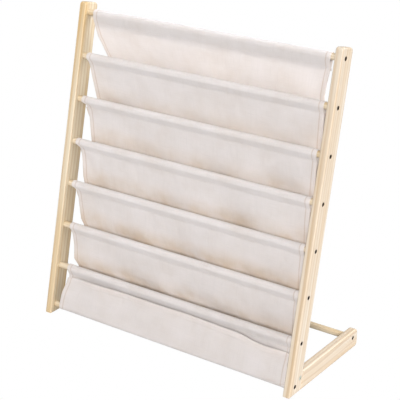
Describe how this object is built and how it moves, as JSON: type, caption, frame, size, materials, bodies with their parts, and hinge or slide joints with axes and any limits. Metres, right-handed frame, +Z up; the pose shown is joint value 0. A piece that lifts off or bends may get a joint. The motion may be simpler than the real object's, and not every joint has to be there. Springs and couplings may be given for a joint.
{
  "type": "sling bookshelf",
  "caption": "Sling bookshelf for a child's room: leaning pine posts on level feet, joined by round rods that hold canvas slings as open book pockets.",
  "frame": {"origin": "on the floor, at the middle of the width and of the depth of the whole frame", "axes": "+Z up, +X along the rods to the right of someone who stands in front, +Y towards the back"},
  "size_m": [0.604, 0.256, 0.635],
  "materials": {
    "pine": "planed pine, clear satin varnish",
    "rod_wood": "turned light wood, clear satin varnish",
    "canvas": "undyed cotton canvas, matt, plain weave",
    "zinc_steel": "zinc-plated steel",
    "dark_steel": "dark bronze-coloured steel"
  },
  "bodies": {
    "root": {"left_post": "pine", "left_foot": "pine", "left_barrel_nut": "zinc_steel", "left_foot_stud": "zinc_steel", "left_locating_pin": "rod_wood", "left_screw_1": "dark_steel", "left_screw_2": "dark_steel", "left_screw_3": "dark_steel", "left_screw_4": "dark_steel", "left_screw_5": "dark_steel", "left_screw_6": "dark_steel", "left_screw_7": "dark_steel", "left_screw_8": "dark_steel", "left_rear_screw": "dark_steel", "right_post": "pine", "right_foot": "pine", "right_barrel_nut": "zinc_steel", "right_foot_stud": "zinc_steel", "right_locating_pin": "rod_wood", "right_screw_1": "dark_steel", "right_screw_2": "dark_steel", "right_screw_3": "dark_steel", "right_screw_4": "dark_steel", "right_screw_5": "dark_steel", "right_screw_6": "dark_steel", "right_screw_7": "dark_steel", "right_screw_8": "dark_steel", "right_rear_screw": "dark_steel", "rod_1": "rod_wood", "rod_2": "rod_wood", "rod_3": "rod_wood", "rod_4": "rod_wood", "rod_5": "rod_wood", "rod_6": "rod_wood", "rod_7": "rod_wood", "rod_8": "rod_wood", "rear_rod": "rod_wood", "sling_1": "canvas", "sling_2": "canvas", "sling_3": "canvas", "sling_4": "canvas", "sling_5": "canvas", "sling_6": "canvas", "bottom_back_panel": "canvas", "front_pocket_panel": "canvas"}
  },
  "joints": []
}
